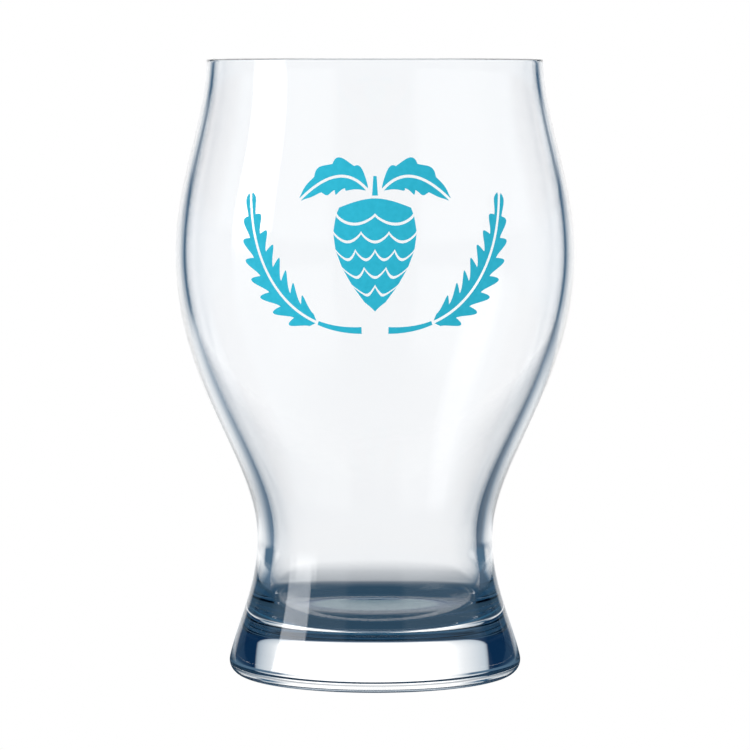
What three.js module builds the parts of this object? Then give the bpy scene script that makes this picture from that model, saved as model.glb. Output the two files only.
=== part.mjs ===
// A footed beer glass: a blown bowl fused to a heavy solid foot, with a fired print of hops and barley.
// Millimetres, +Z up. The origin is the middle of the base, on the table, and the print faces -Y.
import * as THREE from "three";

// Outer form of the glass.
const HEIGHT = 140;
const RIM_RADIUS = 38.1;
const BELLY_RADIUS = 45.3;
const BELLY_HEIGHT = 96;
const WAIST_RADIUS = 26.8;
const WAIST_HEIGHT = 31;
const FOOT_RADIUS = 33.3;
const FOOT_FLARE_ANGLE = 12.5;
const HEEL_RADIUS = 3.2;

// Walls and cavity.
const RIM_WALL = 1.65;
const LIP_HEIGHT = 0.3;
const BELLY_WALL = 2.2;
const WAIST_WALL = 3.65;
const CAVITY_SPREAD = 1.15;
const CAVITY_CORNER_RADIUS = 6.5;
const CAVITY_FLOOR_HEIGHT = 11.2;
const CAVITY_FLOOR_DISH = 2.8;

// Fused joint: the bowl's rounded bottom sits in a shallow seat on the foot.
const BOWL_BOTTOM_THICKNESS = 3.5;
const SEAT_RISE = 2;

// Fullness of each curve: the length of its handle as a share of the height that the curve spans.
const SHOULDER_FULLNESS = { top: 0.29, bottom: 0.38 };
const FLANK_FULLNESS = { top: 0.465, bottom: 0.285 };
const FOOT_FULLNESS = { top: 0.4, bottom: 0.28 };
const CAVITY_FLANK_FULLNESS = { top: 0.445, bottom: 0.28 };
const CAVITY_NECK_FULLNESS = { top: 0.35, bottom: 0.35 };

// Print: fired ink, measured on the bowl across and up from the middle of the print.
const PRINT_HEIGHT = 98;
const INK_THICKNESS = 0.15;
const INK_CLEARANCE = 0.1;
const INK_GAP = 0.6;
const INK_POINT = 0.12;
const EAR_START = { across: 3, up: -16.6 };
const EAR_BEND = { across: 25, up: -17.2 };
const EAR_TIP = { across: 30.2, up: 12.5 };
const EAR_ROW_WIDTH = 4.3;
const EAR_GRAINS = 8;
const EAR_GRAIN_LEAN = 0.75;
const STALK_SHARE = 0.26;
const STALK_WIDTH = 1.5;
const HOP_TOP = 12.3;
const HOP_LENGTH = 25;
const HOP_WIDTH = 18;
const HOP_SCALES = [2, 3, 4, 3, 2, 1];
const HOP_SCALE_DROP = 2;
const HOP_STEM_LENGTH = 4.2;
const HOP_STEM_WIDTH = 1.3;
const LEAF_START = { across: 1.8, up: 13.9 };
const LEAF_BEND = { across: 8, up: 20.5 };
const LEAF_TIP = { across: 17, up: 11.8 };
const LEAF_HALF_WIDTH = 3.6;
const LEAF_TEETH = 4;
const LEAF_TOOTH_LEAN = 0.3;

// Shares and powers that give the print's outlines their form.
const SWELLING_POWER = 1.8;
const GRAIN_ROOT_SHARE = 0.4;
const EAR_TAPER_SHARE = { start: 0.24, end: 0.95 };
const LEAF_TOOTH_SHARE = 0.3;
const LEAF_WIDTH_POWER = 0.8;
const STALK_TAPER_SHARE = 0.4;
const HOP_SHOULDER_SHARE = 0.16;
const HOP_WIDTH_POWER = 0.78;
const HOP_ROUND_POWER = 0.85;
const SCALE_ROUND_POWER = 0.8;

// Facets.
const SEGMENTS = 64;
const STEPS = { shoulder: 8, flank: 11, neck: 7, base: 2, heel: 4, lip: 6, corner: 5, floor: 4, seat: 4 };
const INK_STEPS = { grain: 4, tooth: 4, scale: 4, stroke: 6 };

const SIDES = { left: -1, right: 1 };

const glass = new THREE.MeshStandardMaterial({ color: 0xe6eef2, roughness: 0.05, metalness: 0 });
const ink = new THREE.MeshStandardMaterial({ color: 0x2cb4d0, roughness: 0.35, metalness: 0 });

const point = (radius, height) => new THREE.Vector2(radius, height);

// A curve down from one upright tangent to another, with handles as shares of the drop.
function uprightCurve(top, bottom, fullness) {
  const drop = top.y - bottom.y;
  const below = point(top.x, top.y - fullness.top * drop);
  const above = point(bottom.x, bottom.y + fullness.bottom * drop);
  return new THREE.CubicBezierCurve(top, below, above, bottom);
}

// An arc of a circle in the profile, from one angle to another.
function arc(centre, radius, from, to) {
  return new THREE.EllipseCurve(centre.x, centre.y, radius, radius, from, to, to < from);
}

// Evenly stepped points of a curve between two of its parameters.
function stretch(curve, steps, from = 0, to = 1) {
  const share = (i) => from + ((to - from) * i) / steps;
  return Array.from({ length: steps + 1 }, (_, i) => curve.getPoint(share(i)));
}

// The parameter at which a falling curve passes a height, found by halving.
function parameterAt(curve, height) {
  let above = 0;
  let below = 1;
  for (let i = 0; i < 40; i++) {
    const middle = (above + below) / 2;
    if (curve.getPoint(middle).y > height) above = middle;
    else below = middle;
  }
  return (above + below) / 2;
}

// Stretches of points joined into one profile, without the points that meet twice.
function joined(...stretches) {
  const all = stretches.flat();
  return all.filter((p, i) => i === 0 || p.distanceTo(all[i - 1]) > 1e-6);
}

// A profile of radius and height turned round the upright axis.
function turned(profile) {
  return new THREE.LatheGeometry(profile, SEGMENTS).rotateX(Math.PI / 2);
}

// Outer side, from the rim down to the heel.
const rimEdge = point(RIM_RADIUS, HEIGHT - LIP_HEIGHT);
const belly = point(BELLY_RADIUS, BELLY_HEIGHT);
const waist = point(WAIST_RADIUS, WAIST_HEIGHT);
const flare = THREE.MathUtils.degToRad(FOOT_FLARE_ANGLE);
const heelCentre = point(FOOT_RADIUS - HEEL_RADIUS, HEEL_RADIUS);
const heelTop = point(Math.cos(flare), Math.sin(flare)).multiplyScalar(HEEL_RADIUS).add(heelCentre);
const footDrop = WAIST_HEIGHT - heelTop.y;
const shoulder = uprightCurve(rimEdge, belly, SHOULDER_FULLNESS);
const flank = uprightCurve(belly, waist, FLANK_FULLNESS);
const footSide = new THREE.CubicBezierCurve(
  waist,
  point(WAIST_RADIUS, WAIST_HEIGHT - FOOT_FULLNESS.top * footDrop),
  point(-Math.sin(flare), Math.cos(flare)).multiplyScalar(FOOT_FULLNESS.bottom * footDrop).add(heelTop),
  heelTop,
);
const heel = arc(heelCentre, HEEL_RADIUS, flare, -Math.PI / 2);

// Inner side, from the rim down to the middle of the cavity's floor.
const cavityRim = point(RIM_RADIUS - RIM_WALL, rimEdge.y);
const cavityBelly = point(BELLY_RADIUS - BELLY_WALL, BELLY_HEIGHT);
const cavityWaist = point(WAIST_RADIUS - WAIST_WALL, WAIST_HEIGHT);
const cornerTop = point(cavityWaist.x + CAVITY_SPREAD, CAVITY_FLOOR_HEIGHT + CAVITY_CORNER_RADIUS);
const cornerCentre = point(cornerTop.x - CAVITY_CORNER_RADIUS, cornerTop.y);
const floorEdge = point(cornerCentre.x, CAVITY_FLOOR_HEIGHT);
const floorMiddle = point(0, CAVITY_FLOOR_HEIGHT - CAVITY_FLOOR_DISH);
const rimMiddle = RIM_RADIUS - RIM_WALL / 2;
const lip = new THREE.EllipseCurve(rimMiddle, rimEdge.y, RIM_WALL / 2, LIP_HEIGHT, 0, Math.PI);
const cavityShoulder = uprightCurve(cavityRim, cavityBelly, SHOULDER_FULLNESS);
const cavityFlank = uprightCurve(cavityBelly, cavityWaist, CAVITY_FLANK_FULLNESS);
const cavityNeck = uprightCurve(cavityWaist, cornerTop, CAVITY_NECK_FULLNESS);
const corner = arc(cornerCentre, CAVITY_CORNER_RADIUS, 0, -Math.PI / 2);
const floorBend = point(floorEdge.x / 2, floorMiddle.y);
const cavityFloor = new THREE.QuadraticBezierCurve(floorEdge, floorBend, floorMiddle);

// Seat between the bowl and the foot, from the axis out to the joint on the outer side.
const seatMiddle = point(0, floorMiddle.y - BOWL_BOTTOM_THICKNESS);
const jointParameter = parameterAt(footSide, seatMiddle.y + SEAT_RISE);
const jointEdge = footSide.getPoint(jointParameter);
const seatBend = point(jointEdge.x / 2, seatMiddle.y);
const seatCurve = new THREE.QuadraticBezierCurve(seatMiddle, seatBend, jointEdge);
const seat = stretch(seatCurve, STEPS.seat);

function bowl() {
  const outside = joined(
    stretch(footSide, STEPS.neck, jointParameter, 0),
    stretch(flank, STEPS.flank, 1, 0),
    stretch(shoulder, STEPS.shoulder, 1, 0),
  );
  const inside = joined(
    stretch(lip, STEPS.lip),
    stretch(cavityShoulder, STEPS.shoulder),
    stretch(cavityFlank, STEPS.flank),
    stretch(cavityNeck, STEPS.neck),
    stretch(corner, STEPS.corner),
    stretch(cavityFloor, STEPS.floor),
  );
  return turned(joined(seat, outside, inside));
}

function foot() {
  const base = [point(0, 0), point(heelCentre.x, 0)];
  const outside = joined(
    stretch(heel, STEPS.heel, 1, 0),
    stretch(footSide, STEPS.base, 1, jointParameter),
  );
  return turned(joined(base, outside, [...seat].reverse()));
}

// The bowl's outer radius at a height on its shoulder or flank.
function outerRadius(height) {
  const curve = height > BELLY_HEIGHT ? shoulder : flank;
  return curve.getPoint(parameterAt(curve, height)).x;
}

// A place on the print, wrapped round the bowl and lifted off the glass.
function onBowl(place, lift) {
  const height = PRINT_HEIGHT + place.y;
  const radius = outerRadius(height) + lift;
  const angle = place.x / BELLY_RADIUS;
  return [radius * Math.sin(angle), -radius * Math.cos(angle), height];
}

// A film of ink between two edges that run side by side, each a function of the share along it.
function inkFilm(firstEdge, secondEdge, steps) {
  const shares = Array.from({ length: steps + 1 }, (_, i) => i / steps);
  const turn = secondEdge(0.5).sub(firstEdge(0.5)).cross(firstEdge(1).sub(firstEdge(0)));
  const edges = turn < 0 ? [firstEdge, secondEdge] : [secondEdge, firstEdge];
  const lifts = [INK_CLEARANCE, INK_CLEARANCE + INK_THICKNESS];
  const section = (share) => [
    onBowl(edges[0](share), lifts[0]),
    onBowl(edges[1](share), lifts[0]),
    onBowl(edges[1](share), lifts[1]),
    onBowl(edges[0](share), lifts[1]),
  ];
  const positions = shares.flatMap(section).flat();
  const triangles = [0, 2, 1, 0, 3, 2];
  for (let i = 0; i < steps; i++) {
    for (let side = 0; side < 4; side++) {
      const here = 4 * i + side;
      const next = 4 * i + ((side + 1) % 4);
      triangles.push(here, next, next + 4, here, next + 4, here + 4);
    }
  }
  const last = 4 * steps;
  triangles.push(last, last + 1, last + 2, last, last + 2, last + 3);
  const geometry = new THREE.BufferGeometry();
  geometry.setAttribute("position", new THREE.Float32BufferAttribute(positions, 3));
  geometry.setIndex(triangles);
  return geometry;
}

// A quadratic curve in the print through a start, towards a bend, to a tip, on one side of the middle.
function spine(start, bend, tip, sign) {
  const places = [start, bend, tip].map((p) => point(sign * p.across, p.up));
  return new THREE.QuadraticBezierCurve(...places);
}

// An edge that follows a spine at a distance, leaning forward along it as it goes out.
function edgeBeside(curve, distance, lean, from, to) {
  return (share) => {
    const t = from + (to - from) * share;
    const forward = curve.getTangent(t);
    const outward = point(-forward.y, forward.x);
    const reach = distance(share);
    const place = curve.getPoint(t).addScaledVector(outward, reach);
    return place.addScaledVector(forward, lean * Math.abs(reach));
  };
}

// A swelling that repeats: 0 at each start, 1 past the middle of each part, and 0 again at its end.
function swelling(share, parts) {
  const part = share === 1 ? 1 : (share * parts) % 1;
  return Math.sin(Math.PI * part ** SWELLING_POWER);
}

// One row of grains along a barley ear, on one side of its middle line.
function grainRow(ear, outward) {
  const width = (share) => {
    const turn = Math.PI * THREE.MathUtils.lerp(EAR_TAPER_SHARE.start, EAR_TAPER_SHARE.end, share);
    const grain = THREE.MathUtils.lerp(GRAIN_ROOT_SHARE, 1, swelling(share, EAR_GRAINS));
    return EAR_ROW_WIDTH * Math.sin(turn) * grain;
  };
  const reach = (share) => outward * (INK_GAP / 2 + width(share));
  const inner = edgeBeside(ear, () => (outward * INK_GAP) / 2, 0, STALK_SHARE, 1);
  const outer = edgeBeside(ear, reach, EAR_GRAIN_LEAN, STALK_SHARE, 1);
  return inkFilm(inner, outer, EAR_GRAINS * INK_STEPS.grain);
}

// A stroke of ink along a stretch of a spine, with half its width as a function of the share along it.
function stroke(curve, half, end) {
  const one = edgeBeside(curve, half, 0, 0, end);
  const other = edgeBeside(curve, (share) => -half(share), 0, 0, end);
  return inkFilm(one, other, INK_STEPS.stroke);
}

// The bare stalk below the grains, which ends a gap short of them.
function stalk(ear) {
  const end = STALK_SHARE - INK_GAP / ear.getLength();
  return stroke(ear, (share) => (STALK_WIDTH / 2) * (1 - STALK_TAPER_SHARE * share), end);
}

// The short stem over the hop cone.
function hopStem() {
  const start = point(0, HOP_TOP + INK_GAP / 2);
  const line = new THREE.LineCurve(start, point(0, start.y + HOP_STEM_LENGTH));
  return stroke(line, (share) => (HOP_STEM_WIDTH / 2) * (1 - STALK_TAPER_SHARE * share), 1);
}

// Half a toothed leaf, on one side of its vein.
function halfLeaf(vein, outward) {
  const width = (share) => {
    const body = Math.max(Math.sin(Math.PI * share ** LEAF_WIDTH_POWER), 0);
    const tooth = THREE.MathUtils.lerp(1 - LEAF_TOOTH_SHARE, 1, swelling(share, LEAF_TEETH));
    return INK_POINT + LEAF_HALF_WIDTH * body * tooth;
  };
  const reach = (share) => outward * (INK_GAP / 2 + width(share));
  const inner = edgeBeside(vein, () => (outward * INK_GAP) / 2, 0, 0, 1);
  const outer = edgeBeside(vein, reach, LEAF_TOOTH_LEAN, 0, 1);
  return inkFilm(inner, outer, LEAF_TEETH * INK_STEPS.tooth);
}

// Half the width of the hop cone at a place up the print: a cut shoulder, a belly and a narrow tip.
function hopHalfWidth(up) {
  const share = THREE.MathUtils.clamp((HOP_TOP - up) / HOP_LENGTH, 0, 1);
  const turn = Math.PI * THREE.MathUtils.lerp(HOP_SHOULDER_SHARE, 1, share) ** HOP_WIDTH_POWER;
  return INK_POINT + (HOP_WIDTH / 2) * Math.max(Math.sin(turn), 0) ** HOP_ROUND_POWER;
}

// The scalloped line under a row of scales, or the plain arched line over the first one.
function scaleLine(row, share) {
  if (row === 0) return HOP_TOP - HOP_SCALE_DROP * (2 * share - 1) ** 2;
  const lobe = Math.abs(Math.sin(Math.PI * HOP_SCALES[row - 1] * share)) ** SCALE_ROUND_POWER;
  const level = HOP_TOP - ((HOP_LENGTH - HOP_SCALE_DROP) * row) / HOP_SCALES.length;
  return level - HOP_SCALE_DROP * lobe;
}

// One row of the hop cone's overlapping scales, between the line over it and the line under it.
function scaleRow(row) {
  const edge = (line, inset) => (share) => {
    const up = scaleLine(line, share) + inset;
    return point((2 * share - 1) * hopHalfWidth(up), up);
  };
  const lobes = row === 0 ? HOP_SCALES[0] : HOP_SCALES[row] * HOP_SCALES[row - 1];
  return inkFilm(edge(row, -INK_GAP / 2), edge(row + 1, INK_GAP / 2), lobes * INK_STEPS.scale);
}

const beerGlass = new THREE.Group();

function add(name, geometry, material) {
  const mesh = new THREE.Mesh(geometry, material);
  mesh.name = name;
  beerGlass.add(mesh);
}

add("bowl", bowl(), glass);
add("foot", foot(), glass);
HOP_SCALES.forEach((_, row) => add(`print_hop_scales_${row + 1}`, scaleRow(row), ink));
add("print_hop_stem", hopStem(), ink);
for (const [side, sign] of Object.entries(SIDES)) {
  const vein = spine(LEAF_START, LEAF_BEND, LEAF_TIP, sign);
  add(`print_leaf_${side}_upper`, halfLeaf(vein, sign), ink);
  add(`print_leaf_${side}_lower`, halfLeaf(vein, -sign), ink);
  const ear = spine(EAR_START, EAR_BEND, EAR_TIP, sign);
  add(`print_stalk_${side}`, stalk(ear), ink);
  add(`print_grains_${side}_upper`, grainRow(ear, sign), ink);
  add(`print_grains_${side}_lower`, grainRow(ear, -sign), ink);
}

export default beerGlass;
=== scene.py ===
# %% [markdown]
# # A footed beer glass
#
# The real thing is a thin blown bowl fused to a heavy clear foot, with a print of hops and barley fired
# onto its front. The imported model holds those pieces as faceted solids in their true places. This lesson
# puts a smooth surface over each of them, gives the surfaces their finish, and lights them as a glass is
# lit in a studio. Every surface is a formula worked out on a whole numpy grid.

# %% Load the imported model
import math

import bpy
import numpy as np
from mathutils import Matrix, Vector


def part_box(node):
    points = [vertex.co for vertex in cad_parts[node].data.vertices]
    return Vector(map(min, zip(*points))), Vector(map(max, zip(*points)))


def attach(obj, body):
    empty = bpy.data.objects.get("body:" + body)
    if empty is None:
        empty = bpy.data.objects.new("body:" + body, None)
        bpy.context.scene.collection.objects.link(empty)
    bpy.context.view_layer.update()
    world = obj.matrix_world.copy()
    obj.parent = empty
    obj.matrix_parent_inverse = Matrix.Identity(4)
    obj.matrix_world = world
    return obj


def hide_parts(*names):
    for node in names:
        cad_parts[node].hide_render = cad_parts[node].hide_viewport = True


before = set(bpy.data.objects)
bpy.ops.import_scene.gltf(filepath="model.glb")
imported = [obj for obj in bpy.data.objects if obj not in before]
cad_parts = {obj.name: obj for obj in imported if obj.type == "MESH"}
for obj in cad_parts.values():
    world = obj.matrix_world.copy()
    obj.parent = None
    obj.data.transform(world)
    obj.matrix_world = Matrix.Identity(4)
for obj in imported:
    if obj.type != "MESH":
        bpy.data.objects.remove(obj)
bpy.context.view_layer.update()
MM = 0.001

# %% [markdown]
# ## The profile of the glass
#
# A blown glass is round, so one profile says all: how far the glass reaches from its axis at each height.
# It could be drawn as a curve object and spun with a Screw modifier. Here it is a row of Bezier curves,
# because their handles keep the upright tangents at the belly and the waist, and the same curves later say
# where the print lies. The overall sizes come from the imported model, and the rest are named in millimetres.

# %% Sizes of the glass
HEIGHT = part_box("bowl")[1].z / MM
BELLY_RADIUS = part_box("bowl")[1].x / MM
SEAT_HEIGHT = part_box("bowl")[0].z / MM
FOOT_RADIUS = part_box("foot")[1].x / MM
JOINT_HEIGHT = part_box("foot")[1].z / MM
RIM_RADIUS = 38.1
BELLY_HEIGHT = 96.0
WAIST_RADIUS = 26.8
WAIST_HEIGHT = 31.0
FOOT_FLARE_ANGLE = math.radians(12.5)
HEEL_RADIUS = 3.2
RIM_WALL = 1.65
LIP_HEIGHT = 0.3
BELLY_WALL = 2.2
WAIST_WALL = 3.65
CAVITY_SPREAD = 1.15
CAVITY_CORNER_RADIUS = 6.5
CAVITY_FLOOR_HEIGHT = 11.2
CAVITY_FLOOR_DISH = 2.8
SHOULDER_FULLNESS = (0.29, 0.38)
FLANK_FULLNESS = (0.465, 0.285)
CAVITY_FLANK_FULLNESS = (0.445, 0.28)
FOOT_FULLNESS = (0.4, 0.28)
NECK_FULLNESS = (0.35, 0.35)
print(f"glass: {HEIGHT:.1f} mm tall, {2 * BELLY_RADIUS:.1f} mm wide, foot {2 * FOOT_RADIUS:.1f} mm wide")

# %% Curves of the profile
def bezier(handles, count, start=0.0, end=1.0):
    """A Bezier curve: handles times Bernstein weights C(n,k) t^k (1-t)^(n-k), for t from start to end."""
    t = np.linspace(start, end, count)[:, None]
    degree = len(handles) - 1
    k = np.arange(degree + 1)
    choose = np.array([math.comb(degree, i) for i in k])
    return (choose * t**k * (1 - t) ** (degree - k)) @ np.array(handles, float)


def upright(top, bottom, fullness):
    """Handles of a curve that leaves top and meets bottom upright, each handle a share of the drop long."""
    drop = top[1] - bottom[1]
    return [top, (top[0], top[1] - fullness[0] * drop), (bottom[0], bottom[1] + fullness[1] * drop), bottom]


def arc(centre, radii, start, end, count):
    """Points of an ellipse: the centre plus (radius across times cos a, radius up times sin a)."""
    a = np.linspace(start, end, count)
    return np.array(centre) + np.array(radii) * np.column_stack([np.cos(a), np.sin(a)])


print("curves: their points are (distance from the axis, height) in mm")

# %% Outer side, from the rim down to the heel
rim_edge = (RIM_RADIUS, HEIGHT - LIP_HEIGHT)
belly = (BELLY_RADIUS, BELLY_HEIGHT)
waist = (WAIST_RADIUS, WAIST_HEIGHT)
heel_centre = (FOOT_RADIUS - HEEL_RADIUS, HEEL_RADIUS)
heel_radii = (HEEL_RADIUS, HEEL_RADIUS)
heel_top = arc(heel_centre, heel_radii, FOOT_FLARE_ANGLE, FOOT_FLARE_ANGLE, 1)[0]
flare = np.array([-math.sin(FOOT_FLARE_ANGLE), math.cos(FOOT_FLARE_ANGLE)])
shoulder = upright(rim_edge, belly, SHOULDER_FULLNESS)
flank = upright(belly, waist, FLANK_FULLNESS)
foot_side = upright(waist, heel_top, FOOT_FULLNESS)
foot_side[2] = heel_top + FOOT_FULLNESS[1] * (WAIST_HEIGHT - heel_top[1]) * flare

FINE = 2001
side_heights = bezier(foot_side, FINE)[:, 1]
joint_share = np.interp(-JOINT_HEIGHT, -side_heights, np.linspace(0, 1, FINE))
joint_edge = bezier(foot_side, 2, joint_share)[0]
print(f"joint: the bowl meets the foot {joint_edge[0]:.2f} mm from the axis, {joint_edge[1]:.2f} mm up")

# %% Inner side and the seat between the bowl and the foot
FUSED_GAP = 0.004

cavity_rim = (RIM_RADIUS - RIM_WALL, HEIGHT - LIP_HEIGHT)
lip_centre = (RIM_RADIUS - RIM_WALL / 2, HEIGHT - LIP_HEIGHT)
lip_radii = (RIM_WALL / 2, LIP_HEIGHT)
cavity_belly = (BELLY_RADIUS - BELLY_WALL, BELLY_HEIGHT)
cavity_waist = (WAIST_RADIUS - WAIST_WALL, WAIST_HEIGHT)
corner_top = (cavity_waist[0] + CAVITY_SPREAD, CAVITY_FLOOR_HEIGHT + CAVITY_CORNER_RADIUS)
corner_centre = (corner_top[0] - CAVITY_CORNER_RADIUS, corner_top[1])
corner_radii = (CAVITY_CORNER_RADIUS, CAVITY_CORNER_RADIUS)
floor_edge = (corner_centre[0], CAVITY_FLOOR_HEIGHT)
floor_middle = (0.0, CAVITY_FLOOR_HEIGHT - CAVITY_FLOOR_DISH)
cavity_floor = [floor_edge, (floor_edge[0] / 2, floor_middle[1]), floor_middle]
seat = [(0.0, SEAT_HEIGHT), (joint_edge[0] / 2, SEAT_HEIGHT), joint_edge]
print(f"cavity: {HEIGHT - floor_middle[1]:.1f} mm deep, over {floor_middle[1]:.1f} mm of glass")

# %% [markdown]
# ## Turning a profile into a piece
#
# A Screw or Spin modifier would turn the profile too, but both leave doubled points on the axis that must be
# merged. Writing the rings as arrays gives one point at each pole, faces that all look outwards, and rows
# whose number is known, so a row can be given its own material.

# %% Profile to mesh
SEGMENTS = 224
SHARP_ANGLE = math.radians(40)
SAME_PLACE = 1e-6


def joined(*stretches):
    """Stretches of points end to end, without the points that meet twice."""
    points = np.concatenate(stretches)
    apart = np.linalg.norm(np.diff(points, axis=0), axis=1) > SAME_PLACE
    return points[np.concatenate([[True], apart])]


def new_piece(name, points, faces):
    """A smooth mesh object at the origin from points in mm, with an edge where faces turn sharply."""
    mesh = bpy.data.meshes.new(name)
    mesh.from_pydata((points * MM).tolist(), [], faces)
    mesh.shade_smooth()
    mesh.set_sharp_from_angle(angle=SHARP_ANGLE)
    piece = bpy.data.objects.new(name, mesh)
    bpy.context.scene.collection.objects.link(piece)
    return piece


def turned(name, profile):
    """A profile turned round the axis: radius r and height z at angle a give (r sin a, -r cos a, z).
    The first and last points of the profile lie on the axis, and each becomes one pole."""
    a = 2 * np.pi * np.arange(SEGMENTS) / SEGMENTS
    r, z = profile[1:-1, :1], profile[1:-1, 1:]
    rings = np.stack([r * np.sin(a), -r * np.cos(a), z + 0 * a], axis=-1)
    poles = np.column_stack([[0, 0], [0, 0], profile[[0, -1], 1]])
    points = np.concatenate([poles[:1], rings.reshape(-1, 3), poles[1:]])
    here = 1 + np.arange(rings.shape[0] * SEGMENTS).reshape(-1, SEGMENTS)
    beside = np.roll(here, -1, axis=1)
    first = np.stack([0 * here[0], beside[0], here[0]], axis=-1)
    quads = np.stack([here[:-1], beside[:-1], beside[1:], here[1:]], axis=-1).reshape(-1, 4)
    last = np.stack([here[-1], beside[-1], 0 * here[-1] + len(points) - 1], axis=-1)
    return new_piece(name, points, first.tolist() + quads.tolist() + last.tolist())


print(f"turning: {SEGMENTS} points round the axis in each row")

# %% [markdown]
# ## The bowl and the foot
#
# On the real glass the bowl is blown, and the foot is pressed onto its hot bottom, so the two are one body of
# glass with no air between them. One mesh for both would hide that they are two pieces. Here each is a closed
# mesh of its own, and the faces where they are fused get a material that shows nothing, so light passes from
# one piece to the other without bending.

# %% Bowl
ROWS = {"seat": 12, "side": 40, "flank": 84, "shoulder": 56, "lip": 21, "corner": 15, "floor": 12}

bowl_profile = joined(
    bezier(seat, ROWS["seat"]) + (0, FUSED_GAP),
    bezier(foot_side, ROWS["side"], joint_share, 0)[1:],
    bezier(flank, ROWS["flank"], 1, 0),
    bezier(shoulder, ROWS["shoulder"], 1, 0),
    arc(lip_centre, lip_radii, 0, math.pi, ROWS["lip"]),
    bezier(upright(cavity_rim, cavity_belly, SHOULDER_FULLNESS), ROWS["shoulder"]),
    bezier(upright(cavity_belly, cavity_waist, CAVITY_FLANK_FULLNESS), ROWS["flank"]),
    bezier(upright(cavity_waist, corner_top, NECK_FULLNESS), ROWS["side"]),
    arc(corner_centre, corner_radii, 0, -math.pi / 2, ROWS["corner"]),
    bezier(cavity_floor, ROWS["floor"]),
)
bowl = turned("glass_bowl", bowl_profile)
print(f"bowl: {len(bowl.data.polygons)} faces")

# %% Foot
foot_profile = joined(
    bezier([(0, 0), (heel_centre[0], 0)], ROWS["floor"]),
    arc(heel_centre, heel_radii, -math.pi / 2, FOOT_FLARE_ANGLE, ROWS["corner"]),
    bezier(foot_side, ROWS["side"], 1, joint_share),
    bezier(seat, ROWS["seat"], 1, 0),
)
foot = turned("glass_foot", foot_profile)
print(f"foot: {len(foot.data.polygons)} faces")

# %% [markdown]
# ## The print
#
# The print is a thin film of ink, silk-screened on the bowl and fired: a hop cone between two ears of barley.
# A texture could paint it, but then the exported model would need a picture. Here each part of the print is a
# closed film of its own, worked out flat in millimetres across and up from the print's middle, and then
# wrapped round the bowl at the radius that the profile has there.

# %% Wrapping a place round the bowl
PRINT_HEIGHT = 98.0

outline = joined(bezier(flank, FINE, 1, 0), bezier(shoulder, FINE, 1, 0))


def on_bowl(places, lift):
    """A place on the bowl: up gives its height, the outline its radius plus the lift, across its arc."""
    height = PRINT_HEIGHT + places[..., 1]
    radius = np.interp(height, outline[:, 1], outline[:, 0]) + lift
    angle = places[..., 0] / BELLY_RADIUS
    return np.stack([radius * np.sin(angle), -radius * np.cos(angle), height], axis=-1)


print(f"print: its middle is {PRINT_HEIGHT:.0f} mm up")

# %% A film of ink
INK_THICKNESS = 0.06
INK_CLEARANCE = 0.02
INK_THINNING = 0.7
INK_EDGE_POWER = 6
INK_ACROSS = 7

films = {}


def ink_film(name, first, second):
    """A closed film between two edges that run side by side. Its top stands over its underside by the ink's
    thickness times 1 - thinning |2w - 1|^power, where w is the share of the way across."""
    w = np.linspace(0, 1, INK_ACROSS)
    crown = INK_CLEARANCE + INK_THICKNESS * (1 - INK_THINNING * np.abs(2 * w - 1) ** INK_EDGE_POWER)
    across_and_back = np.concatenate([w, w[::-1]])[:, None]
    lift = np.concatenate([crown, np.full(INK_ACROSS, INK_CLEARANCE)])
    points = on_bowl(first[:, None] + (second - first)[:, None] * across_and_back, lift)
    here = np.arange(points[..., 0].size).reshape(points.shape[:2])
    beside = np.roll(here, -1, axis=1)
    sides = np.stack([here[:-1], beside[:-1], beside[1:], here[1:]], axis=-1).reshape(-1, 4)
    faces = sides.tolist() + [here[0, ::-1].tolist(), here[-1].tolist()]
    across = (second - first)[len(first) // 2]
    along = first[-1] - first[0]
    if across[0] * along[1] - across[1] * along[0] < 0:
        faces = [face[::-1] for face in faces]
    films[name] = new_piece(name + "_film", points.reshape(-1, 3), faces)


print(f"ink: {INK_THICKNESS} mm thick, {INK_CLEARANCE} mm clear of the glass")

# %% Edges that follow a spine
INK_GAP = 0.6
INK_POINT = 0.12
SWELLING_POWER = 1.8


def shares(parts, count):
    """Even shares from 0 to 1, with so many of them in each part."""
    return np.linspace(0, 1, parts * count + 1)


def mixed(low, high, share):
    """The value a share of the way from low to high."""
    return low + (high - low) * share


def swelling(s, parts):
    """A swelling that repeats: sin(pi f^power), where f is the share of the way through each part."""
    f = s * parts - np.minimum(np.floor(s * parts), parts - 1)
    return np.sin(np.pi * f**SWELLING_POWER)


def edge_beside(spine, reach, lean, start, end):
    """A spine's points, each moved out by its reach, and forward along the spine by lean times reach."""
    t = np.linspace(start, end, len(reach))[:, None]
    slope = 2 * (1 - t) * (spine[1] - spine[0]) + 2 * t * (spine[2] - spine[1])
    forward = slope / np.linalg.norm(slope, axis=1, keepdims=True)
    outward = np.column_stack([-forward[:, 1], forward[:, 0]])
    middle = bezier(spine, len(reach), start, end)
    return middle + outward * reach[:, None] + forward * lean * np.abs(reach)[:, None]


print(f"edges: films lie {INK_GAP} mm apart")

# %% [markdown]
# ## Ears of barley
#
# An ear is two rows of plump grains on one stalk. Each grain could be a drop of its own, but small loose
# drops break away in a printer's screen. So a row is one film: its inner edge follows the stalk, and its
# outer edge swells once a grain under a line that tapers towards the tip.

# %% Barley
EAR = np.array([(3, -16.6), (25, -17.2), (30.2, 12.5)])
EAR_ROW_WIDTH = 4.3
EAR_GRAINS = 8
EAR_GRAIN_LEAN = 0.75
EAR_TAPER_SHARE = (0.24, 0.95)
GRAIN_ROOT_SHARE = 0.4
STALK_SHARE = 0.26
STALK_WIDTH = 1.5
STALK_TAPER_SHARE = 0.4
GRAIN_STEPS = 14
STROKE_STEPS = 24
SIDES = {"left": -1, "right": 1}


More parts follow.
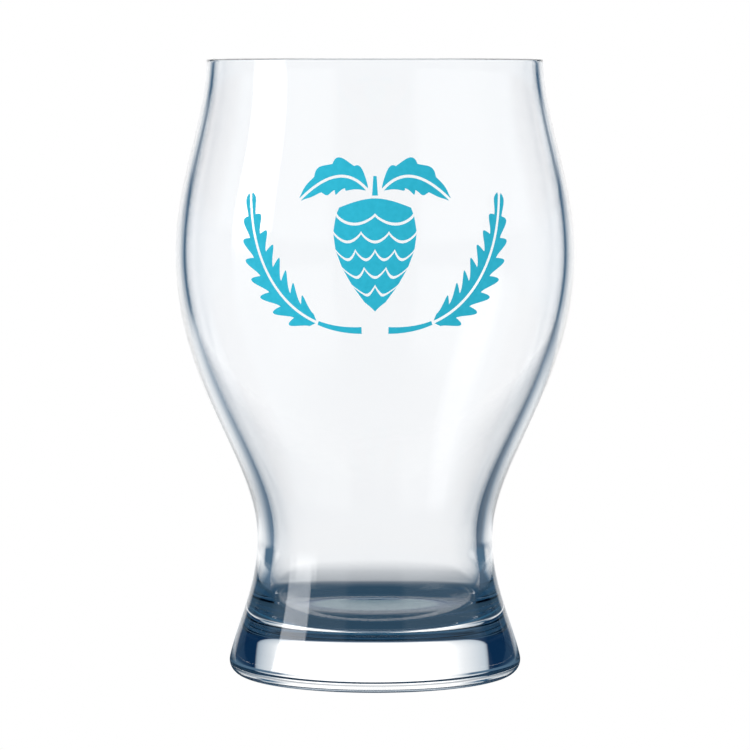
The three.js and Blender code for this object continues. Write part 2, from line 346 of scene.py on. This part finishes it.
def grain_row(name, ear, outward):
    """A row of grains beside the stalk. Its width is sin(pi taper) times a share that swells from the root
    share to 1 once a grain."""
    s = shares(EAR_GRAINS, GRAIN_STEPS)
    taper = np.sin(np.pi * mixed(*EAR_TAPER_SHARE, s))
    width = EAR_ROW_WIDTH * taper * mixed(GRAIN_ROOT_SHARE, 1, swelling(s, EAR_GRAINS))
    inner = edge_beside(ear, np.full(len(s), outward * INK_GAP / 2), 0, STALK_SHARE, 1)
    outer = edge_beside(ear, outward * (INK_GAP / 2 + width), EAR_GRAIN_LEAN, STALK_SHARE, 1)
    ink_film(name, inner, outer)


def stalk(name, ear):
    """The bare stalk below the grains: two edges whose distance tapers, ending a gap short of the grains."""
    length = np.linalg.norm(np.diff(bezier(ear, FINE), axis=0), axis=1).sum()
    end = STALK_SHARE - INK_GAP / length
    half = STALK_WIDTH / 2 * (1 - STALK_TAPER_SHARE * shares(1, STROKE_STEPS))
    ink_film(name, edge_beside(ear, half, 0, 0, end), edge_beside(ear, -half, 0, 0, end))


for side, sign in SIDES.items():
    ear = EAR * (sign, 1)
    stalk(f"print_stalk_{side}", ear)
    grain_row(f"print_grains_{side}_upper", ear, sign)
    grain_row(f"print_grains_{side}_lower", ear, -sign)
print(f"barley: {len(films)} films")

# %% [markdown]
# ## Leaves
#
# A hop leaf has a toothed edge and a vein down its middle. A curve object with handles could draw it. Here
# each half is a film beside the vein, and the bare gap between the halves is the vein, because the film
# between two edges that made the barley then makes the leaf too.

# %% Leaves
LEAF = np.array([(1.8, 13.9), (8, 20.5), (17, 11.8)])
LEAF_HALF_WIDTH = 3.6
LEAF_WIDTH_POWER = 0.8
LEAF_TEETH = 4
LEAF_TOOTH_LEAN = 0.3
LEAF_TOOTH_SHARE = 0.3
TOOTH_STEPS = 16


def half_leaf(name, vein, outward):
    """Half a leaf beside its vein: a width of sin(pi s^power), cut by a tooth that swells four times."""
    s = shares(LEAF_TEETH, TOOTH_STEPS)
    body = np.maximum(np.sin(np.pi * s**LEAF_WIDTH_POWER), 0)
    tooth = mixed(1 - LEAF_TOOTH_SHARE, 1, swelling(s, LEAF_TEETH))
    width = INK_POINT + LEAF_HALF_WIDTH * body * tooth
    inner = edge_beside(vein, np.full(len(s), outward * INK_GAP / 2), 0, 0, 1)
    outer = edge_beside(vein, outward * (INK_GAP / 2 + width), LEAF_TOOTH_LEAN, 0, 1)
    ink_film(name, inner, outer)


for side, sign in SIDES.items():
    half_leaf(f"print_leaf_{side}_upper", LEAF * (sign, 1), sign)
    half_leaf(f"print_leaf_{side}_lower", LEAF * (sign, 1), -sign)
print(f"leaves: {len(films)} films so far")

# %% [markdown]
# ## The hop cone
#
# A hop cone is rows of scales that overlap like roof tiles. They could be separate petals, but flat ink of
# one colour would run them together. Here each row is one band. Its upper edge follows the lobes of the row
# above, a bare line apart from them, and its ends follow the outline of the cone.

# %% Outline of the cone and the lines under its scales
HOP_TOP = 12.3
HOP_LENGTH = 25.0
HOP_WIDTH = 18.0
HOP_SHOULDER_SHARE = 0.16
HOP_WIDTH_POWER = 0.78
HOP_ROUND_POWER = 0.85
HOP_SCALES = [2, 3, 4, 3, 2, 1]
HOP_SCALE_DROP = 2.0
SCALE_ROUND_POWER = 0.8


def hop_half_width(up):
    """Half the cone's width: sin(pi q^width)^round, where q runs from the cut shoulder to 1 at the tip."""
    share = np.clip((HOP_TOP - up) / HOP_LENGTH, 0, 1)
    angle = np.pi * mixed(HOP_SHOULDER_SHARE, 1, share) ** HOP_WIDTH_POWER
    return INK_POINT + HOP_WIDTH / 2 * np.maximum(np.sin(angle), 0) ** HOP_ROUND_POWER


def scale_line(row, s, inset):
    """The line under a row of n scales: a level less a drop times |sin(pi n s)|^round. Line 0 is an arch."""
    if row == 0:
        up = HOP_TOP - HOP_SCALE_DROP * (2 * s - 1) ** 2 + inset
    else:
        row_level = HOP_TOP - (HOP_LENGTH - HOP_SCALE_DROP) * row / len(HOP_SCALES)
        lobe = np.abs(np.sin(np.pi * HOP_SCALES[row - 1] * s)) ** SCALE_ROUND_POWER
        up = row_level - HOP_SCALE_DROP * lobe + inset
    return np.column_stack([(2 * s - 1) * hop_half_width(up), up])


print(f"hop: {HOP_LENGTH:.0f} mm long, {HOP_WIDTH:.0f} mm wide, {len(HOP_SCALES)} rows of scales")

# %% Hop cone and its stem
HOP_STEM_LENGTH = 4.2
HOP_STEM_WIDTH = 1.3
SCALE_STEPS = 16

for row, scales in enumerate(HOP_SCALES):
    lobes_above = HOP_SCALES[row - 1] if row else 1
    s = shares(scales * lobes_above, SCALE_STEPS)
    upper = scale_line(row, s, -INK_GAP / 2)
    lower = scale_line(row + 1, s, INK_GAP / 2)
    ink_film(f"print_hop_scales_{row + 1}", upper, lower)

along_stem = shares(1, STROKE_STEPS)
stem_up = HOP_TOP + INK_GAP / 2 + HOP_STEM_LENGTH * along_stem
stem_half = HOP_STEM_WIDTH / 2 * (1 - STALK_TAPER_SHARE * along_stem)
ink_film("print_hop_stem", np.column_stack([-stem_half, stem_up]), np.column_stack([stem_half, stem_up]))
print(f"print: {len(films)} films in all")

# %% [markdown]
# ## Clear glass
#
# Clear soda-lime glass bends light with an index of about 1.5 and takes next to nothing from it. Its dark
# edges are not paint: they are the dark sides of the studio, bent into view. A Glass shader would do, but
# Principled with full transmission is the one that the export knows. The slight waves of a blown surface are
# a bump from a slow noise.

# %% Node helpers
def new_material(name):
    """An empty node material and its tree."""
    material = bpy.data.materials.new(name)
    material.use_nodes = True
    material.node_tree.nodes.clear()
    return material, material.node_tree


def node(tree, kind, inputs=None, **settings):
    """A node of a kind, with its settings and with its inputs given as plain values or as sockets to link."""
    made = tree.nodes.new(kind)
    for key, value in settings.items():
        setattr(made, key, value)
    for key, value in (inputs or {}).items():
        if isinstance(value, bpy.types.NodeSocket):
            tree.links.new(value, made.inputs[key])
        else:
            made.inputs[key].default_value = value
    return made


def finish_with(tree, shader):
    """The tree's output, fed by a shader."""
    node(tree, "ShaderNodeOutputMaterial", {"Surface": shader.outputs[0]})


def cloudy_bump(tree, scale, detail, strength, distance):
    """A noise on the piece's own coordinates, and a bump that follows it."""
    place = node(tree, "ShaderNodeTexCoord").outputs["Object"]
    noise = {"Vector": place, "Scale": scale, "Detail": detail}
    cloud = node(tree, "ShaderNodeTexNoise", noise).outputs["Fac"]
    height = {"Height": cloud, "Strength": strength, "Distance": distance}
    return cloud, node(tree, "ShaderNodeBump", height).outputs["Normal"]


print("nodes: helpers ready")

# %% Glass and fused glass
GLASS_INDEX = 1.5
GLASS_TINT = (0.994, 0.994, 0.995, 1)
WAVES = {"scale": 38.0, "detail": 1.0, "strength": 0.004, "distance": 1 * MM}


def clear_glass():
    """Full transmission at the glass's index, with faint long waves left by the blowing."""
    material, tree = new_material("clear_glass")
    normal = cloudy_bump(tree, **WAVES)[1]
    shader = node(tree, "ShaderNodeBsdfPrincipled", {"Normal": normal})
    shader.inputs["Base Color"].default_value = GLASS_TINT
    shader.inputs["Roughness"].default_value = 0.0
    shader.inputs["IOR"].default_value = GLASS_INDEX
    shader.inputs["Transmission Weight"].default_value = 1.0
    finish_with(tree, shader)
    return material


def fused_glass():
    """Nothing at all: light passes where the bowl and the foot have melted into one."""
    material, tree = new_material("fused_glass")
    finish_with(tree, node(tree, "ShaderNodeBsdfTransparent"))
    return material


glass = clear_glass()
fused = fused_glass()
print(f"glass: index {GLASS_INDEX}")

# %% [markdown]
# ## Fired ink
#
# Ceramic ink is pressed through a screen and melted onto the glass. It is opaque and satin, and a little
# cloudy where the screen let more or less of it through. One flat colour would look like plastic film, so a
# fine noise shifts the colour and raises a slight bump. It could be a texture picture, but the noise needs no
# file and stays with the piece.

# %% Ink
SCREEN = {"scale": 900.0, "detail": 3.0, "strength": 0.1, "distance": 0.05 * MM}
THICK_INK = (0.018, 0.418, 0.578, 1)
THIN_INK = (0.025, 0.462, 0.632, 1)
THICK_BELOW = 0.3
THIN_ABOVE = 0.7
INK_ROUGHNESS = 0.6
INK_SHINE = 0.15


def turquoise_ink():
    """A satin turquoise whose colour runs from thick to thin ink as the noise rises."""
    material, tree = new_material("turquoise_ink")
    cloud, normal = cloudy_bump(tree, **SCREEN)
    colour = node(tree, "ShaderNodeValToRGB", {"Fac": cloud})
    thick, thin = colour.color_ramp.elements
    thick.position, thick.color = THICK_BELOW, THICK_INK
    thin.position, thin.color = THIN_ABOVE, THIN_INK
    shader = node(tree, "ShaderNodeBsdfPrincipled", {"Base Color": colour.outputs["Color"], "Normal": normal})
    shader.inputs["Roughness"].default_value = INK_ROUGHNESS
    shader.inputs["Specular IOR Level"].default_value = INK_SHINE
    finish_with(tree, shader)
    return material


ink = turquoise_ink()
print(f"ink: roughness {INK_ROUGHNESS}")

# %% [markdown]
# ## Pieces take their finish
#
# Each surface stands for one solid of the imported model, which is hidden but keeps its weight and its
# collision. The fused faces could be cut off as a mesh of their own, but that would leave open shapes, so an
# index on each face picks its material instead. Nothing on a glass moves, so all the pieces ride on one body.

# %% Finish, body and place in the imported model
def place_in_frame(piece, replaced):
    """The piece rides on the one body and stands for a solid, which is hidden."""
    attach(piece, "root")
    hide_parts(replaced)


def dress_glass(piece, replaced, fused_rows):
    """Glass all over a turned piece, apart from the rows of faces where it is fused to its neighbour."""
    piece.data.materials.append(glass)
    piece.data.materials.append(fused)
    piece.data.polygons.foreach_set("material_index", np.repeat(fused_rows, SEGMENTS).astype(np.int32))
    place_in_frame(piece, replaced)


dress_glass(bowl, "bowl", np.arange(len(bowl_profile) - 1) < ROWS["seat"] - 1)
dress_glass(foot, "foot", np.arange(len(foot_profile) - 1) >= len(foot_profile) - ROWS["seat"])
for name, film in films.items():
    film.data.materials.append(ink)
    place_in_frame(film, name)
print(f"pieces: {2 + len(films)} dressed")

# %% [markdown]
# ## The studio
#
# A glass in a studio is lit from behind: a broad white field shows through the middle of it, and dark cards
# beside the field draw its edges. Cards and lamps could be modelled as meshes, but thick glass gathers light
# from so many ways that small lamps leave grain. Here the room is a formula instead. Each direction has its
# light, given in degrees round the glass and up from the horizon, so an edge can be moved a degree at a time.

# %% Sums with nodes
MIX_FIRST_COLOUR = 6
MIX_SECOND_COLOUR = 7
MIX_RESULT_COLOUR = 2


def maths(tree, operation, first, second=0.0):
    """One sum on numbers or sockets."""
    return node(tree, "ShaderNodeMath", {0: first, 1: second}, operation=operation).outputs[0]


def mix_colours(tree, share, first, second):
    """The first colour where the share is 0, and the second where it is 1. The Mix node has sockets of one
    name for each kind of value, so those for colours are picked by their number."""
    inputs = {"Factor": share, MIX_FIRST_COLOUR: first, MIX_SECOND_COLOUR: second}
    return node(tree, "ShaderNodeMix", inputs, data_type="RGBA").outputs[MIX_RESULT_COLOUR]


def degrees(tree, first, second):
    """The angle whose tangent is the first over the second, in degrees."""
    return maths(tree, "MULTIPLY", maths(tree, "ARCTAN2", first, second), math.degrees(1))


print("sums: numbers, colours and angles")

# %% Ramps and greys
def steps(tree, value, stops):
    """A colour ramp whose stops are placed in the value's own unit, with straight lines between them."""
    lowest, highest = stops[0][0], stops[-1][0]
    share = node(tree, "ShaderNodeMapRange", {"Value": value, "From Min": lowest, "From Max": highest})
    made = node(tree, "ShaderNodeValToRGB", {"Fac": share.outputs["Result"]})
    elements = made.color_ramp.elements
    while len(elements) < len(stops):
        elements.new(0.5)
    for element, (place, colour) in zip(elements, stops):
        element.position = (place - lowest) / (highest - lowest)
        element.color = (*colour, 1)
    return made.outputs["Color"]


def levels(tree, value, stops):
    """A ramp of plain numbers."""
    return steps(tree, value, [(place, (level,) * 3) for place, level in stops])


RED_LOSS = 0.3
BLUE_GAIN = 0.235


def grey(value):
    """A grey that turns bluer as it darkens. Red is the value to the power of 1 + loss x (1 - value), and
    blue the value to the power of 1 - gain x (1 - value)."""
    darkness = max(0.0, 1 - value)
    return (value ** (1 + RED_LOSS * darkness), value, value ** (1 - BLUE_GAIN * darkness))


print(f"greys: half bright is {grey(0.5)}")

# %% [markdown]
# ## What the glass does to light
#
# The glass stands on plain white paper with no horizon. What is seen bare, and the soft light on the ink, is
# that white, and only light that the glass has bent or mirrored shows the studio. Blender counts how often a
# path was mirrored. None is a look straight through the walls. One comes from the thick edge of a wall, or
# from the window in the foot. More is light that runs on inside the glass, and it comes out dark. It counts
# the faces that a path went through as well, so a reflection on the far wall can be fainter than one on the
# near wall. The look could come from one light for all, but then the dark cards would show through the glass
# from other sides.

# %% Kinds of light
def plain_light(tree):
    """1 for what is seen bare and for soft light on matt things, 0 for what the glass bends or mirrors."""
    path = node(tree, "ShaderNodeLightPath")
    return maths(tree, "MAXIMUM", path.outputs["Is Camera Ray"], path.outputs["Is Diffuse Ray"])


def through_faces(tree, count):
    """1 for light that went through more than so many faces of glass, and 0 for the rest."""
    path = node(tree, "ShaderNodeLightPath")
    return maths(tree, "GREATER_THAN", path.outputs["Transmission Depth"], count + 0.5)


def mirrored_times(tree, count):
    """1 for light that was mirrored at least so many times, and 0 for the rest."""
    path = node(tree, "ShaderNodeLightPath")
    return maths(tree, "GREATER_THAN", path.outputs["Glossy Depth"], count - 0.5)


print("light: bare or bent, through few faces or many, mirrored or not")

# %% [markdown]
# ## The floor
#
# A white table isn't even when it is seen through a glass: it is dark where the foot shuts out the light, a
# soft shadow lies behind it, and its sides are in the shade of the cards. A lit plane and lamps could give
# that, with grain. Here a disc glows by formula, from the distance to the glass in millimetres and the turn
# round it in degrees, and it fades out before the room takes over.

# %% Light on the table
FLOOR_RADIUS = 450.0
FLOOR_DROP = 0.2
LIGHT_STRENGTH = 1.32
# The table's sides in the shade of the cards are painted shade: a dark glow that shows where the glass bends
# or mirrors light onto them.
CARD_SHADE = (0.07, 0.105, 0.15)
TABLE_LIGHT = [
    (-180, CARD_SHADE), (-50, grey(0.15)), (-41, grey(0.39)), (-34, grey(0.63)), (-26, grey(0.74)),
    (-14, grey(0.84)), (0, grey(0.83)), (14, grey(0.84)), (22, grey(0.78)), (28, grey(0.67)),
    (34, grey(0.49)), (41, grey(0.18)), (45, CARD_SHADE), (180, CARD_SHADE),
]
TABLE_DRIFT = {"From Min": 250.0, "From Max": 420.0, "To Min": 0.0, "To Max": 10.0}
OPEN_TABLE = grey(0.75)
OPEN_TURN = [(40, 0), (46, 1)]


def table_light(tree, reach, turn):
    """Light by the turn round the glass, whose right side closes in by a few degrees further back. Its dark
    sides show only in mirrored light: seen straight through the glass they are open and pale."""
    drift = node(tree, "ShaderNodeMapRange", {"Value": reach, **TABLE_DRIFT}).outputs["Result"]
    right = maths(tree, "GREATER_THAN", turn, 0.0)
    turn = maths(tree, "ADD", turn, maths(tree, "MULTIPLY", right, drift))
    straight = maths(tree, "SUBTRACT", 1.0, mirrored_times(tree, 1))
    side = levels(tree, maths(tree, "ABSOLUTE", turn), OPEN_TURN)
    open_share = maths(tree, "MULTIPLY", straight, side)
    colour = mix_colours(tree, open_share, steps(tree, turn, TABLE_LIGHT), (*OPEN_TABLE, 1))
    return node(tree, "ShaderNodeEmission", {"Color": colour, "Strength": LIGHT_STRENGTH})


print(f"table: lit from {TABLE_LIGHT[1][0]} to {TABLE_LIGHT[-2][0]} degrees from straight back")

# %% Shade under and behind the glass
SHADE = (0.025, 0.06, 0.1)
SHADE_EDGE = [
    (0, 1), (48, 1), (58, 0.95), (66, 0.8), (76, 0.4), (116, 0.25), (150, 0.14), (190, 0.06),
    (FLOOR_RADIUS, 0),
]
SHADOW_EDGE = [(0, 0.22), (40, 0.22), (50, 0)]
SHADOW_LENGTH = [(0, 0), (60, 0), (75, 1), (120, 1), (190, 0)]


def table_shade(tree, reach, beside, back):
    """The patch by its distance from the axis, plus the shadow: its share across times its share along."""
    patch = levels(tree, reach, SHADE_EDGE)
    shadow = maths(tree, "MULTIPLY", levels(tree, beside, SHADOW_EDGE), levels(tree, back, SHADOW_LENGTH))
    return maths(tree, "ADD", patch, shadow)


print(f"shade: full to {SHADE_EDGE[1][0]} mm from the axis")

# %% Floor
FLOOR_FADE = [(0, 1), (330, 1), (FLOOR_RADIUS, 0)]


def pale_floor():
    """White paper, whose light and shade show through the glass and fade out towards the rim of the disc."""
    material, tree = new_material("pale_floor")
    place = node(tree, "ShaderNodeTexCoord").outputs["Object"]
    measured = node(tree, "ShaderNodeVectorMath", {0: place, "Scale": 1 / MM}, operation="SCALE").outputs[0]
    reach = node(tree, "ShaderNodeVectorMath", {0: measured}, operation="LENGTH").outputs["Value"]
    split = node(tree, "ShaderNodeSeparateXYZ", {0: measured})
    across, back = split.outputs["X"], split.outputs["Y"]
    lit = table_light(tree, reach, degrees(tree, across, back))
    dark = table_shade(tree, reach, maths(tree, "ABSOLUTE", across), back)
    shade = node(tree, "ShaderNodeEmission", {"Color": (*SHADE, 1)})
    table = node(tree, "ShaderNodeMixShader", {0: dark, 1: lit.outputs[0], 2: shade.outputs[0]})
    clear = node(tree, "ShaderNodeBsdfTransparent")
    fade = levels(tree, reach, FLOOR_FADE)
    seen = node(tree, "ShaderNodeMixShader", {0: fade, 1: clear.outputs[0], 2: table.outputs[0]})
    paper = node(tree, "ShaderNodeEmission", {"Color": (1, 1, 1, 1)})
    both = node(tree, "ShaderNodeMixShader", {0: plain_light(tree), 1: seen.outputs[0], 2: paper.outputs[0]})
    finish_with(tree, both)
    return material


around = 2 * np.pi * np.arange(SEGMENTS) / SEGMENTS
disc_rim = np.column_stack([np.cos(around), np.sin(around), 0 * around]) * FLOOR_RADIUS - (0, 0, FLOOR_DROP)
floor = new_piece("floor", disc_rim, [list(range(SEGMENTS))])
floor.data.materials.append(pale_floor())
print(f"floor: {2 * FLOOR_RADIUS:.0f} mm across, {FLOOR_DROP} mm under the foot")

# %% [markdown]
# ## The room
#
# Round the glass stand the white field at the back and a dark card on each side of it. Over them hang a white
# panel at the back and a grey one on each side, under a dim ceiling. A narrow softbox on the left, bright at
# its top, leaves the strip on the foot. An environment picture could hold all that, but this script reads no
# pictures. Here the world's colour is looked up by direction: the turn from straight back, with left below
# zero, and the climb above the horizon.

# %% Directions
world = bpy.data.worlds.new("studio")
bpy.context.scene.world = world
world.use_nodes = True
tree = world.node_tree
tree.nodes.clear()
direction = node(tree, "ShaderNodeTexCoord").outputs["Generated"]
split = node(tree, "ShaderNodeSeparateXYZ", {0: direction})
level = node(tree, "ShaderNodeVectorMath", {0: direction, 1: (1, 1, 0)}, operation="MULTIPLY").outputs[0]
level_size = node(tree, "ShaderNodeVectorMath", {0: level}, operation="LENGTH").outputs["Value"]
turn = degrees(tree, split.outputs["X"], split.outputs["Y"])
off_back = maths(tree, "ABSOLUTE", turn)
climb = degrees(tree, split.outputs["Z"], level_size)
print("directions: turn and climb in degrees")

# %% Field and cards
STEEL = (0.02, 0.08, 0.145)
MIST = (0.065, 0.122, 0.185)
FIELD = [
    (0, grey(0.82)), (4, grey(0.84)), (10, grey(1.03)), (21, grey(1.25)), (27, grey(0.7)), (33, grey(0.2)),
    (36, STEEL), (39, STEEL), (46, grey(0.68)), (70, grey(0.85)), (180, grey(0.85)),
]
FIELD_MIRRORED = [
    (0, grey(0.9)), (18, grey(0.92)), (22, grey(0.82)), (26, grey(0.66)), (29, grey(0.48)), (32, MIST),
    (180, MIST),
]
FIELD_MIRRORED_HIGH = [
    (0, grey(0.93)), (14, grey(0.93)), (20, grey(0.86)), (24, grey(0.66)), (26.5, grey(0.4)), (29, grey(0.1)),
    (33, MIST), (180, MIST),
]
HIGH_CLIMB = [(-1, 0), (1.5, 1)]

straight_field = steps(tree, off_back, FIELD)
mirrored_field = mix_colours(
    tree,
    levels(tree, climb, HIGH_CLIMB),
    steps(tree, off_back, FIELD_MIRRORED),
    steps(tree, off_back, FIELD_MIRRORED_HIGH),
)
light = mix_colours(tree, mirrored_times(tree, 1), straight_field, mirrored_field)
print(f"field: brightest {FIELD[3][0]} degrees from straight back, dark card at {FIELD[6][0]} degrees")

# %% Panels over the table
NAVY = (0.002, 0.016, 0.05)
WHITE = (1.0, 1.0, 1.0)
PANELS = [
    (-180, grey(0.1)), (-156, grey(0.1)), (-150, grey(0.4)), (-112, grey(0.4)), (-80, grey(0.35)),
    (-70, NAVY), (-38.8, NAVY), (-37.8, grey(0.45)), (-26, grey(0.72)), (-20, WHITE), (28, WHITE),
    (33, grey(0.62)), (42, grey(0.38)), (43, NAVY), (70, NAVY), (80, grey(0.35)), (112, grey(0.4)),
    (150, grey(0.4)), (156, grey(0.1)), (180, grey(0.1)),
]
PANEL_CLIMB = [(4.4, 0), (5.4, 1)]

light = mix_colours(tree, levels(tree, climb, PANEL_CLIMB), light, steps(tree, turn, PANELS))
print(f"panels: from {PANEL_CLIMB[1][0]} degrees up")

# %% Dim ceiling with a hazy patch in it
DUSK = (0.016, 0.054, 0.11)
HAZE = (0.135, 0.195, 0.225)
CEILING_CLIMB = [(30, 0), (40, 1)]
PATCH_CLIMB = [(44, 0), (50, 1), (66, 1), (74, 0)]
PATCH = [(0, HAZE), (12, HAZE), (21, DUSK), (180, DUSK)]

light = mix_colours(tree, levels(tree, climb, CEILING_CLIMB), light, (*DUSK, 1))
light = mix_colours(tree, levels(tree, climb, PATCH_CLIMB), light, steps(tree, off_back, PATCH))
print(f"ceiling: dim from {CEILING_CLIMB[1][0]} degrees up")

# %% Light that runs on inside the glass
DEEP = (0.012, 0.044, 0.088)
GLOW = [(0, grey(0.5)), (12, grey(0.5)), (24, STEEL), (180, STEEL)]
GLOW_CLIMB = [(22, 0), (28, 1), (42, 1), (50, 0)]

glow = mix_colours(tree, levels(tree, climb, GLOW_CLIMB), (*STEEL, 1), steps(tree, off_back, GLOW))
light = mix_colours(tree, mirrored_times(tree, 2), light, glow)
light = mix_colours(tree, mirrored_times(tree, 3), light, (*DEEP, 1))
print(f"inside: a glow at {GLOW_CLIMB[1][0]} to {GLOW_CLIMB[2][0]} degrees up, and dark past two mirrorings")

# %% Softbox
SOFTBOX_STRENGTH = 5.6
SOFTBOX_LOSS = 0.85
NEAR_WALL_FACES = 2
SOFTBOX_TURN = [(-117, 0), (-115, 1), (-91, 1), (-89, 0)]
SOFTBOX_CLIMB = [(-25, 0), (-10, 0.03), (-1, 0.12), (6, 0.56), (12, 1), (40, 1), (43, 0)]

box = maths(tree, "MULTIPLY", levels(tree, turn, SOFTBOX_TURN), levels(tree, climb, SOFTBOX_CLIMB))
box = maths(tree, "MULTIPLY", box, maths(tree, "SUBTRACT", 1.0, mirrored_times(tree, 2)))
lost_on_far_wall = maths(tree, "MULTIPLY", through_faces(tree, NEAR_WALL_FACES), SOFTBOX_LOSS)
box = maths(tree, "MULTIPLY", box, maths(tree, "SUBTRACT", 1.0, lost_on_far_wall))
print(f"softbox: {SOFTBOX_TURN[2][0] - SOFTBOX_TURN[1][0]} degrees wide, on the left")

# %% World
studio = node(tree, "ShaderNodeBackground", {"Color": light, "Strength": LIGHT_STRENGTH})
softbox = node(tree, "ShaderNodeBackground", {"Color": box, "Strength": SOFTBOX_STRENGTH})
room = node(tree, "ShaderNodeAddShader", {0: studio.outputs[0], 1: softbox.outputs[0]})
paper = node(tree, "ShaderNodeBackground", {"Color": (1, 1, 1, 1)})
shown = node(tree, "ShaderNodeMixShader", {0: plain_light(tree), 1: room.outputs[0], 2: paper.outputs[0]})
node(tree, "ShaderNodeOutputWorld", {"Surface": shown.outputs[0]})
print(f"world: {len(tree.nodes)} nodes")

# %% [markdown]
# ## The camera
#
# The picture is taken from about a metre away with a long lens, almost level with the rim: the rim is one
# line, while the base and the cavity's floor show as ellipses. How round those look gives the camera's height
# and distance, and the glass's size in the frame gives the lens. Blender's own helpers could frame the glass,
# but they know nothing of how far away the picture was taken.

# %% Camera
CAMERA_DISTANCE = 917.8
CAMERA_HEIGHT = 142.0
CAMERA_TILT = math.radians(4.597)
CAMERA_LENS = 194.18
SENSOR_WIDTH = 36.0

camera_data = bpy.data.cameras.new("camera")
camera_data.sensor_width = SENSOR_WIDTH
camera_data.lens = CAMERA_LENS
camera = bpy.data.objects.new("camera", camera_data)
camera.location = (0, -CAMERA_DISTANCE * MM, CAMERA_HEIGHT * MM)
camera.rotation_euler = (math.pi / 2 - CAMERA_TILT, 0, 0)
bpy.context.scene.collection.objects.link(camera)
bpy.context.scene.camera = camera
print(f"camera: {CAMERA_DISTANCE} mm away, {CAMERA_HEIGHT} mm up")

# %% [markdown]
# ## Bounces and colour
#
# Light goes through four faces on its way across a hollow glass, and is mirrored many times in a thick foot,
# so it needs more bounces than Blender's default. Colours could be softened by a film-like view, but white
# paper should stay white, so the Standard view shows them as they are worked out.

# %% Picture settings
GLASS_BOUNCES = 32

scene = bpy.context.scene
scene.view_settings.view_transform = "Standard"
scene.cycles.max_bounces = GLASS_BOUNCES
scene.cycles.transmission_bounces = GLASS_BOUNCES
scene.cycles.transparent_max_bounces = GLASS_BOUNCES
scene.cycles.glossy_bounces = GLASS_BOUNCES // 2
print(f"bounces: {GLASS_BOUNCES}")
